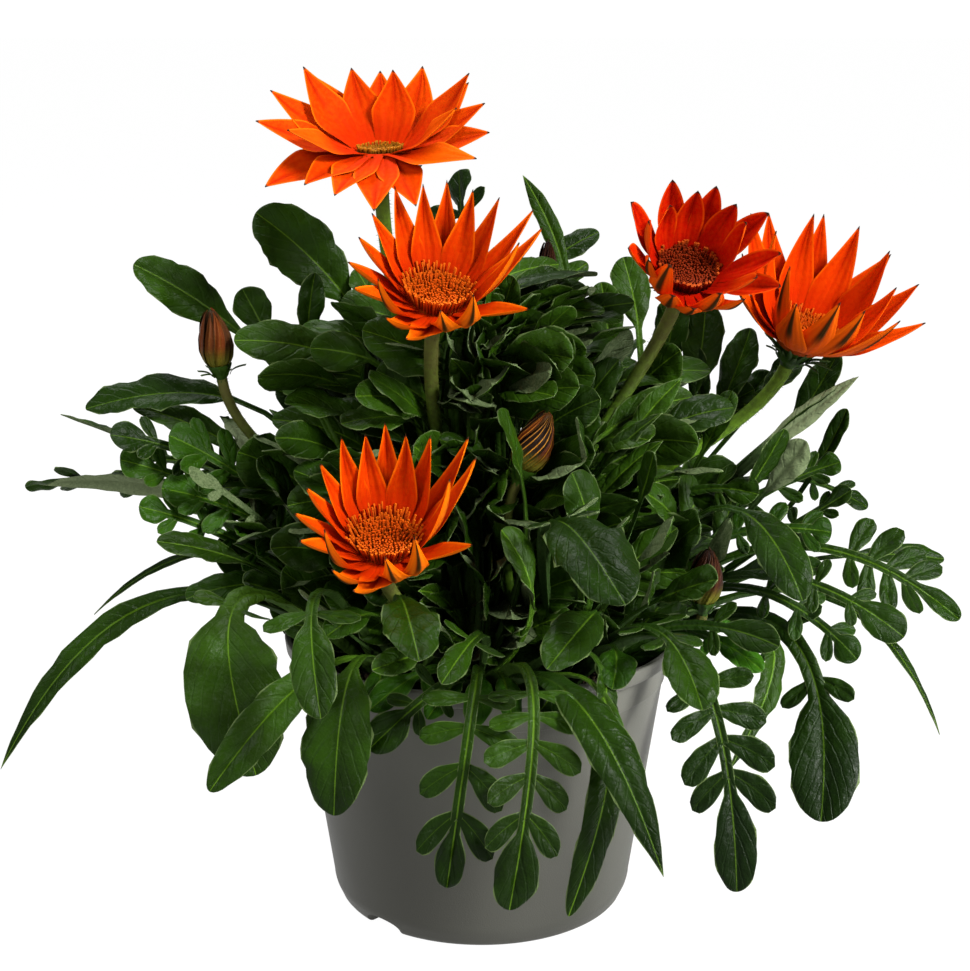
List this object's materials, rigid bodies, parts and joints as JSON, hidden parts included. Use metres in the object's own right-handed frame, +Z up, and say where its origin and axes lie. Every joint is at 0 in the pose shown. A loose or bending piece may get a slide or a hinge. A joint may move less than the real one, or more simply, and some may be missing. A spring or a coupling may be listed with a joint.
{
  "type": "potted gazania",
  "caption": "Gazania bedding plant with orange daisy-like blooms, buds and lobed leaves, growing in a plain round nursery pot.",
  "frame": {"origin": "centre of the pot's base, on the surface the pot stands on", "axes": "+Z up, -Y towards the front of the plant, +X to its right as seen from the front"},
  "size_m": [0.3046, 0.2194, 0.273],
  "materials": {
    "pot": "matte grey moulded plastic",
    "soil": "dark crumbly compost",
    "leaf": "satin dark green leaf with a pale midrib",
    "stalk": "finely hairy olive-green stalk",
    "ray_orange": "soft satin orange petal",
    "ray_red": "soft satin red-orange petal",
    "disc_orange": "packed orange-brown florets",
    "disc_red": "packed dark red-brown florets",
    "bud": "furled rusty orange and maroon petals"
  },
  "bodies": {
    "root": {"pot": "pot", "soil": "soil", "leaves_left": "leaf", "leaves_front_left": "leaf", "leaves_front": "leaf", "leaves_front_right": "leaf", "leaves_right": "leaf", "leaves_back_right": "leaf", "leaves_back": "leaf", "leaves_back_left": "leaf", "leaves_centre": "leaf", "bloom_top_rays": "ray_orange", "bloom_top_disc": "disc_orange", "bloom_top_stalk": "stalk", "bloom_middle_rays": "ray_orange", "bloom_middle_disc": "disc_orange", "bloom_middle_stalk": "stalk", "bloom_low_rays": "ray_orange", "bloom_low_disc": "disc_orange", "bloom_low_stalk": "stalk", "bloom_red_rays": "ray_red", "bloom_red_disc": "disc_red", "bloom_red_stalk": "stalk", "bloom_far_rays": "ray_orange", "bloom_far_disc": "disc_orange", "bloom_far_stalk": "stalk", "bud_left_petals": "bud", "bud_left_stalk": "stalk", "bud_slim_petals": "bud", "bud_slim_stalk": "stalk", "bud_striped_petals": "bud", "bud_striped_stalk": "stalk", "bud_dark_petals": "bud", "bud_dark_stalk": "stalk"}
  },
  "joints": []
}
